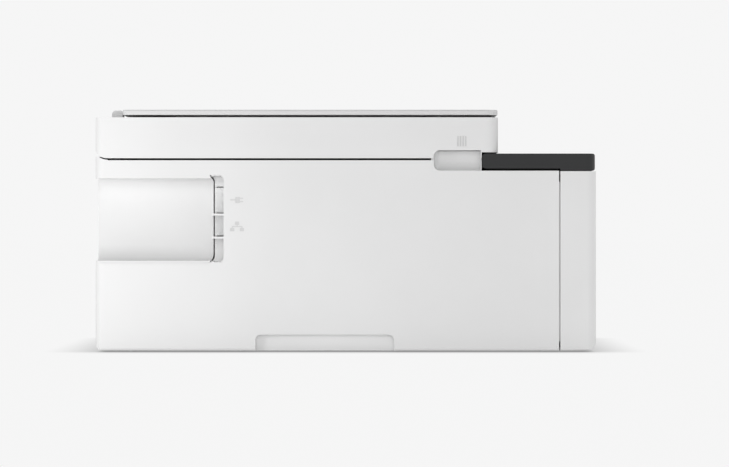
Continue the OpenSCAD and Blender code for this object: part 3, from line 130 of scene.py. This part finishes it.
def make_floor(glow, contact, shadow):
    """A pale table that glows evenly and fades into the room. Near what stands on it, ambient occlusion
    lowers its glow to the level shadow: a painted contact shadow.
    """
    mesh = bpy.data.meshes.new("floor")
    corners = [(x * FLOOR_HALF, y * FLOOR_HALF, 0) for x, y in ((-1, -1), (1, -1), (1, 1), (-1, 1))]
    mesh.from_pydata(corners, [], [(0, 1, 2, 3)])
    floor = bpy.data.objects.new("floor", mesh)
    scene.collection.objects.link(floor)
    material, tree, shader = new_material("floor")
    shader.inputs["Base Color"].default_value = (0, 0, 0, 1)
    shader.inputs["Roughness"].default_value = 1.0
    shader.inputs["Specular IOR Level"].default_value = 0.0
    shader.inputs["Emission Color"].default_value = (1, 1, 1, 1)
    # Painted contact shadow: ambient occlusion darkens the floor's own glow near the machine, in place of a
    # cast shadow
    occlusion = tree.nodes.new("ShaderNodeAmbientOcclusion")
    occlusion.inputs["Distance"].default_value = contact
    fall = tree.nodes.new("ShaderNodeMapRange")
    fall.inputs["To Min"].default_value = shadow
    fall.inputs["To Max"].default_value = glow
    tree.links.new(occlusion.outputs["AO"], fall.inputs["Value"])
    tree.links.new(fall.outputs["Result"], shader.inputs["Emission Strength"])
    floor.data.materials.append(material)


def sun_light(name, direction, strength, angle):
    """A broad soft sun that leaves no glint in glossy surfaces."""
    data = bpy.data.lights.new(name, "SUN")
    data.energy = strength
    data.angle = math.radians(angle)
    light = bpy.data.objects.new(name, data)
    scene.collection.objects.link(light)
    light.visible_glossy = False
    light.rotation_euler = Vector(direction).to_track_quat("-Z", "Y").to_euler()


scene.view_settings.view_transform = "Standard"
make_camera()
make_world(level=0.92, left_side=0.3)
# The floor's glow falls to 0.3 in a painted contact shadow near the machine
make_floor(glow=0.918, contact=0.04, shadow=0.3)
sun_light("front_fill", direction=(1, 0.02, -0.10), strength=1.19, angle=30)
area_light(
    "key", position=(-0.45, 0.27, 0.075), target=(-0.2, 0.27, 0.075), size=(0.12, 0.22), watts=0.29,
)


# ---------- Materials ----------

def object_coordinates(tree):
    return tree.nodes.new("ShaderNodeTexCoord").outputs["Object"]


def add_noise(tree, scale, detail=2.0, stretch=None):
    """A noise texture over the object, finer with a higher scale and drawn out along an axis by stretch."""
    noise = tree.nodes.new("ShaderNodeTexNoise")
    noise.inputs["Scale"].default_value = scale
    noise.inputs["Detail"].default_value = detail
    place = object_coordinates(tree)
    if stretch:
        mapping = tree.nodes.new("ShaderNodeMapping")
        mapping.inputs["Scale"].default_value = stretch
        tree.links.new(place, mapping.inputs["Vector"])
        place = mapping.outputs["Vector"]
    tree.links.new(place, noise.inputs["Vector"])
    return noise


def add_ramp(tree, source, low, high, low_colour, high_colour):
    ramp = tree.nodes.new("ShaderNodeValToRGB")
    ramp.color_ramp.elements[0].position = low
    ramp.color_ramp.elements[1].position = high
    ramp.color_ramp.elements[0].color = (*low_colour, 1)
    ramp.color_ramp.elements[1].color = (*high_colour, 1)
    tree.links.new(source, ramp.inputs["Fac"])
    return ramp


def add_bump(tree, shader, source, strength, distance):
    bump = tree.nodes.new("ShaderNodeBump")
    bump.inputs["Strength"].default_value = strength
    bump.inputs["Distance"].default_value = distance
    tree.links.new(source, bump.inputs["Height"])
    tree.links.new(bump.outputs["Normal"], shader.inputs["Normal"])


def shade(colour, factor):
    return tuple(min(1.0, c * factor) for c in colour)


def moulded(name, colour, roughness, grain=1500, relief=0.00002, mottle=0.015, specular=0.5):
    """Injection-moulded plastic: a fine spark-eroded grain and slightly uneven colour and gloss."""
    material, tree, shader = new_material(name)
    cloud = add_noise(tree, 14, 3.0)
    light, dark = shade(colour, 1 + mottle), shade(colour, 1 - mottle)
    tint = add_ramp(tree, cloud.outputs["Fac"], 0.3, 0.7, dark, light)
    tree.links.new(tint.outputs["Color"], shader.inputs["Base Color"])
    smooth, rough = (roughness - 0.03,) * 3, (roughness + 0.03,) * 3
    gloss = add_ramp(tree, cloud.outputs["Fac"], 0.3, 0.7, smooth, rough)
    tree.links.new(gloss.outputs["Color"], shader.inputs["Roughness"])
    shader.inputs["Specular IOR Level"].default_value = specular
    add_bump(tree, shader, add_noise(tree, grain, 1.0).outputs["Fac"], 0.35, relief)
    return material


def metal(name, colour, roughness, stretch=(1, 1, 1), scale=900):
    """Bare metal with fine marks drawn out along one axis."""
    material, tree, shader = new_material(name)
    grain = add_noise(tree, scale, 3.0, stretch)
    tint = add_ramp(tree, grain.outputs["Fac"], 0.35, 0.65, shade(colour, 0.93), shade(colour, 1.04))
    tree.links.new(tint.outputs["Color"], shader.inputs["Base Color"])
    smooth, rough = (roughness * 0.8,) * 3, (roughness * 1.25,) * 3
    gloss = add_ramp(tree, grain.outputs["Fac"], 0.3, 0.7, smooth, rough)
    tree.links.new(gloss.outputs["Color"], shader.inputs["Roughness"])
    shader.inputs["Metallic"].default_value = 1.0
    add_bump(tree, shader, grain.outputs["Fac"], 0.15, 0.00002)
    return material


def clear_glass(name):
    material, tree, shader = new_material(name)
    shader.inputs["Base Color"].default_value = (0.93, 0.97, 0.96, 1)
    shader.inputs["Transmission Weight"].default_value = 1.0
    shader.inputs["IOR"].default_value = 1.5
    smudge = add_noise(tree, 9, 4.0)
    gloss = add_ramp(tree, smudge.outputs["Fac"], 0.45, 0.75, (0.01,) * 3, (0.06,) * 3)
    tree.links.new(gloss.outputs["Color"], shader.inputs["Roughness"])
    return material


def screen(name):
    """A dark display with a faint pixel grid."""
    material, tree, shader = new_material(name)
    cells = tree.nodes.new("ShaderNodeTexVoronoi")
    cells.inputs["Scale"].default_value = 2500
    tree.links.new(object_coordinates(tree), cells.inputs["Vector"])
    dark, light = (0.012, 0.02, 0.028), (0.02, 0.035, 0.05)
    tint = add_ramp(tree, cells.outputs["Distance"], 0.2, 0.6, dark, light)
    tree.links.new(tint.outputs["Color"], shader.inputs["Base Color"])
    shader.inputs["Roughness"].default_value = 0.25
    return material


def circuit(name):
    """Solder mask over copper tracks."""
    material, tree, shader = new_material(name)
    tracks = tree.nodes.new("ShaderNodeTexBrick")
    tracks.inputs["Scale"].default_value = 260
    tracks.inputs["Mortar Size"].default_value = 0.08
    tracks.inputs["Color1"].default_value = (0.010, 0.13, 0.05, 1)
    tracks.inputs["Color2"].default_value = (0.012, 0.16, 0.06, 1)
    tracks.inputs["Mortar"].default_value = (0.03, 0.24, 0.10, 1)
    tree.links.new(object_coordinates(tree), tracks.inputs["Vector"])
    tree.links.new(tracks.outputs["Color"], shader.inputs["Base Color"])
    shader.inputs["Roughness"].default_value = 0.35
    return material


def foam_sheet(name):
    """The white backing of the lid: a fine woven-looking plastic skin."""
    material, tree, shader = new_material(name)
    weave = tree.nodes.new("ShaderNodeTexWave")
    weave.inputs["Scale"].default_value = 900
    weave.inputs["Distortion"].default_value = 1.5
    tree.links.new(object_coordinates(tree), weave.inputs["Vector"])
    dark, light = (0.86, 0.86, 0.85), (0.91, 0.91, 0.90)
    tint = add_ramp(tree, weave.outputs["Fac"], 0.2, 0.8, dark, light)
    tree.links.new(tint.outputs["Color"], shader.inputs["Base Color"])
    shader.inputs["Roughness"].default_value = 0.75
    add_bump(tree, shader, weave.outputs["Fac"], 0.2, 0.00003)
    return material


MATERIALS = {
    "body_plastic": moulded("body_plastic", (0.80, 0.80, 0.80), 0.48),
    # lid_plastic is darker than body_plastic partly for a greyer lid and partly as painted shade, for the
    # rounded lid edge and hinge bump that read darker
    "lid_plastic": moulded("lid_plastic", (0.70, 0.70, 0.70), 0.48),
    "panel_plastic": moulded("panel_plastic", (0.037, 0.0375, 0.0385), 0.5, mottle=0.05, specular=0.25),
    "dark_plastic": moulded("dark_plastic", (0.035, 0.036, 0.038), 0.5, mottle=0.06),
    "grey_plastic": moulded("grey_plastic", (0.36, 0.365, 0.37), 0.5, mottle=0.03),
    "white_plastic": moulded("white_plastic", (0.78, 0.78, 0.74), 0.4, mottle=0.02),
    "button_plastic": moulded("button_plastic", (0.09, 0.092, 0.095), 0.4, mottle=0.04),
    "gloss_black": moulded(
        "gloss_black", (0.012, 0.012, 0.013), 0.10, grain=600, relief=0.000005, mottle=0.05,
    ),
    "display_screen": screen("display_screen"),
    "sheet_steel": metal("sheet_steel", (0.62, 0.63, 0.64), 0.35, (1, 12, 12)),
    "polished_steel": metal("polished_steel", (0.72, 0.73, 0.74), 0.18, (30, 1, 1)),
    "brass_gear": metal("brass_gear", (0.75, 0.58, 0.27), 0.3),
    "circuit_board": circuit("circuit_board"),
    "clear_glass": clear_glass("clear_glass"),
    "white_foam": foam_sheet("white_foam"),
    "black_rubber": moulded(
        "black_rubber", (0.022, 0.022, 0.023), 0.8, grain=800, relief=0.00004, mottle=0.08,
    ),
    "roller_rubber": moulded(
        "roller_rubber", (0.07, 0.07, 0.072), 0.75, grain=900, relief=0.00004, mottle=0.08,
    ),
}


# ---------- CAD nodes: finish and softened edges ----------

# Radii of softened edges in millimetres, on the covers; other nodes have SMALL_EDGE
EDGE_RADIUS = {
    "scanner_cover": 0.7, "lid_shell": 0.5, "control_panel": 0.6, "left_side_cover": 0.5,
    "right_side_cover": 0.5, "front_bezel": 0.5, "rear_cover": 0.4, "cassette_front": 0.6,
    "rear_door": 0.4, "base_tray": 0.3, "top_deck": 0.3, "output_chute": 0.3,
}
SMALL_EDGE = 0.15
# Nodes whose edges stay sharp, so that flat faces and fine teeth shade cleanly
SHARP_NODES = {
    "platen_glass", "main_board", "scan_pinion", "guide_pinion", "motor_pinion", "star_wheels",
    "feed_roller", "eject_roller", "left_paper_guide", "right_paper_guide", "scanner_base", "display",
}


def finish_node(name, node, slot_name):
    node.data.materials.clear()
    node.data.materials.append(MATERIALS[slot_name])
    # Normals stored in the mesh would no longer fit the bevelled edges
    if "custom_normal" in node.data.attributes:
        node.data.attributes.remove(node.data.attributes["custom_normal"])
    node.data.shade_smooth()
    if name in SHARP_NODES:
        node.data.set_sharp_from_angle(angle=math.radians(28))
        return
    weld = node.modifiers.new("weld", "WELD")
    weld.merge_threshold = 0.000002
    flatten = node.modifiers.new("flatten", "DECIMATE")
    flatten.decimate_type = "DISSOLVE"
    flatten.angle_limit = math.radians(0.3)
    bevel = node.modifiers.new("bevel", "BEVEL")
    bevel.width = EDGE_RADIUS.get(name, SMALL_EDGE) * MM
    bevel.segments = 3 if name in EDGE_RADIUS else 1
    bevel.limit_method = "ANGLE"
    bevel.angle_limit = math.radians(38)
    bevel.use_clamp_overlap = True
    bevel.harden_normals = True


for entry in RECORD["subparts"]:
    finish_node(entry["node"], NODES[entry["node"]], entry["material_slot"])


# ---------- Pieces drawn here ----------

def rounded_outline(centre, size, radius, steps=6):
    """A rectangle with rounded corners, anticlockwise."""
    points = []
    for quarter in range(4):
        side_x = 1 if quarter in (0, 3) else -1
        side_y = 1 if quarter in (0, 1) else -1
        for step in range(steps + 1):
            angle = math.radians(90 * (quarter + step / steps))
            points.append((
                centre[0] + side_x * (size[0] / 2 - radius) + radius * math.cos(angle),
                centre[1] + side_y * (size[1] / 2 - radius) + radius * math.sin(angle),
            ))
    return points


def arc(centre, radius, start, end, steps=28):
    angles = [math.radians(start + (end - start) * step / steps) for step in range(steps + 1)]
    return [(centre[0] + radius * math.cos(a), centre[1] + radius * math.sin(a)) for a in angles]


def disc(centre, radius):
    return arc(centre, radius, 0, 360)[:-1]


def band(centre, radius, width, start, end):
    """Part of a ring, as one outline."""
    return arc(centre, radius + width / 2, start, end) + arc(centre, radius - width / 2, end, start)


def bar(centre, size):
    return rounded_outline(centre, size, min(size) * 0.3, 3)


def add_prism(bm, outline, z0, z1):
    low = [bm.verts.new((x, y, z0)) for x, y in outline]
    high = [bm.verts.new((x, y, z1)) for x, y in outline]
    bm.faces.new(low[::-1])
    bm.faces.new(high)
    for i, corner in enumerate(low):
        j = (i + 1) % len(low)
        bm.faces.new((corner, low[j], high[j], high[i]))


def new_piece(name, outlines, z0, z1, material, body):
    """Prisms over the outlines, from z0 to z1, as one object that moves with a body."""
    bm = bmesh.new()
    for outline in outlines:
        add_prism(bm, outline, z0, z1)
    mesh = bpy.data.meshes.new(name)
    bm.to_mesh(mesh)
    bm.free()
    mesh.materials.append(material)
    piece = bpy.data.objects.new(name, mesh)
    scene.collection.objects.link(piece)
    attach(piece, body)


def lit(name, colour, strength):
    """A part of the picture on the display, or a small lamp, with slightly uneven light."""
    material, tree, shader = new_material(name)
    cloud = add_noise(tree, 60, 1.0)
    tint = add_ramp(tree, cloud.outputs["Fac"], 0.3, 0.7, shade(colour, 0.94), shade(colour, 1.04))
    tree.links.new(tint.outputs["Color"], shader.inputs["Base Color"])
    tree.links.new(tint.outputs["Color"], shader.inputs["Emission Color"])
    shader.inputs["Emission Strength"].default_value = strength
    shader.inputs["Roughness"].default_value = 0.3
    return material


def middle_and_top(node):
    low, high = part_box(node)
    return (low[0] + high[0]) / 2, (low[1] + high[1]) / 2, high[2]


SKIN = 0.03 * MM  # thickness of print on a surface, and of the picture in the display
SIGN_DEPTH = 0.8 * MM  # of the signs sunk into the left covers
SIGN_SIZE = 11.5 * MM  # of a square that takes in each of them
SIGN_INK = 0.06 * MM
# Name, centre of the sign (y, z) and body
COVER_SIGNS = (
    ("plug_sign_ink", (0.0786, 0.1106), "base"),
    ("network_sign_ink", (0.0790, 0.0913), "base"),
    ("scan_sign_ink", (-0.0842, 0.1533), "scanner"),
)
# The bars on each tile of the display (x, y, width, thickness), as parts of the tile's size
THIN = 0.05
TILE_SIGNS = (
    tuple((x, y, 0.36, THIN) for x, y in ((-0.09, 0.19), (-0.09, -0.35), (0.09, 0.37), (0.09, -0.17))),
    ((0, -0.20, 0.60, THIN), (0, 0.02, 0.48, 0.09), (0, 0.20, 0.60, THIN)),
    tuple((0, y, 0.44, THIN) for y in (0.24, 0.08, -0.08, -0.24)),
)


def button_signs():
    """One generic sign printed on each push-button."""
    ink = moulded("button_ink", (0.62, 0.62, 0.62), 0.5, mottle=0.03)
    r = 2.6 * MM
    line = 0.5 * MM
    signs = {
        "power_button": lambda x, y: [
            band((x, y), r, line, 125, 415),
            bar((x, y + r * 0.8), (line, r * 1.1)),
        ],
        "back_button": lambda x, y: [
            [(x - r, y), (x - r * 0.1, y - r * 0.8), (x - r * 0.1, y + r * 0.8)],
            bar((x + r * 0.45, y), (r, line)),
        ],
        "stop_button": lambda x, y: [rounded_outline((x, y), (r * 1.3, r * 1.3), line)],
        "start_button": lambda x, y: [
            [(x - r * 0.6, y - r * 0.85), (x + r * 0.95, y), (x - r * 0.6, y + r * 0.85)],
        ],
    }
    for node, outlines in signs.items():
        x, y, top = middle_and_top(node)
        new_piece(node + "_sign", outlines(x, y), top - SKIN, top + SKIN, ink, node)


def cover_signs():
    """Grey ink in the signs sunk into the left covers: plates that show only through the grooves."""
    ink = moulded("cover_ink", (0.68, 0.68, 0.68), 0.5, mottle=0.03)
    groove_floor = cad_low.x + SIGN_DEPTH
    for name, (y, z), body in COVER_SIGNS:
        plate = bar((groove_floor + SIGN_INK, y), (3 * SIGN_INK, SIGN_SIZE))
        new_piece(name, [plate], z - SIGN_SIZE / 2, z + SIGN_SIZE / 2, ink, body)


def power_lamp():
    """A small lamp to the right of the power button, in a thin dark rim."""
    x, y, _ = middle_and_top("power_button")
    _, _, top = middle_and_top("control_panel")
    spot = (x + 14 * MM, y)
    dark = moulded("lamp_rim", (0.02, 0.02, 0.02), 0.25, mottle=0.05)
    rim = disc(spot, 1.5 * MM)
    new_piece("lamp_rim", [rim], top - 0.5 * MM, top + SKIN, dark, "base")
    bright = lit("lamp_lens", (0.75, 0.85, 0.95), 0.8)
    lens = disc(spot, 1.1 * MM)
    new_piece("lamp_lens", [lens], top - 0.4 * MM, top + 0.2 * MM, bright, "base")


def display_picture():
    """Three tiles, a bar of state and page dots, seen through the window of the panel."""
    low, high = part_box("display")
    x0, y0, _ = middle_and_top("display")
    _, _, top = middle_and_top("panel_window")
    width = high[0] - low[0]
    depth = high[1] - low[1]
    tile = width * 0.27
    pitch = width * 0.31
    tiles, signs = [], []
    for column, bars in zip((-1, 0, 1), TILE_SIGNS):
        x = x0 + column * pitch
        tiles.append(rounded_outline((x, y0), (tile, tile), tile * 0.14))
        for dx, dy, length, thickness in bars:
            signs.append(bar((x + dx * tile, y0 + dy * tile), (length * tile, thickness * tile)))
    line = tile * THIN
    upper, lower = y0 + depth * 0.42, y0 - depth * 0.42
    state = [bar((x0 - width * 0.36, upper), (width * 0.14, line))]
    state += [disc((x0 + width * (0.36 + 0.045 * i), upper), line * 0.9) for i in range(3)]
    state += [disc((x0 + width * 0.035 * i, lower), line * 0.8) for i in (-1, 0, 1)]
    blue = lit("picture_tiles", (0.05, 0.14, 0.22), 0.3)
    pale = lit("picture_pale", (0.70, 0.74, 0.78), 0.35)
    new_piece("picture_tiles", tiles, top - SKIN, top + SKIN / 2, blue, "base")
    new_piece("picture_signs", signs, top - SKIN, top + SKIN, pale, "base")
    new_piece("picture_state", state, top - SKIN, top + SKIN, pale, "base")


def backing_pad():
    """The lid's foam backing: a sheet with soft round edges, flat where it lies on the glass."""
    low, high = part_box("lid_pad")
    centre = ((low[0] + high[0]) / 2, (low[1] + high[1]) / 2)
    soft = 1.6 * MM
    corner = 3.5 * MM
    steps = 6
    turn = [math.radians(90 * step / steps) for step in range(steps + 1)]
    edge = [(soft * (1 - math.sin(a)), low[2] + soft * (1 - math.cos(a))) for a in turn]
    edge += [(inset, low[2] + high[2] - z) for inset, z in reversed(edge)]
    bm = bmesh.new()
    levels = []
    for inset, z in edge:
        size = (high[0] - low[0] - 2 * inset, high[1] - low[1] - 2 * inset)
        levels.append([bm.verts.new((x, y, z)) for x, y in rounded_outline(centre, size, corner - inset)])
    bm.faces.new(levels[0][::-1])
    bm.faces.new(levels[-1])
    for lower, upper in zip(levels, levels[1:]):
        for i, corner_vert in enumerate(lower):
            j = (i + 1) % len(lower)
            bm.faces.new((corner_vert, lower[j], upper[j], upper[i]))
    mesh = bpy.data.meshes.new("backing_pad")
    bm.to_mesh(mesh)
    bm.free()
    mesh.shade_smooth()
    mesh.set_sharp_from_angle(angle=math.radians(40))
    mesh.materials.append(MATERIALS["white_foam"])
    pad = bpy.data.objects.new("backing_pad", mesh)
    scene.collection.objects.link(pad)
    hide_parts("lid_pad")
    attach(pad, "lid")


button_signs()
cover_signs()
power_lamp()
display_picture()
backing_pad()
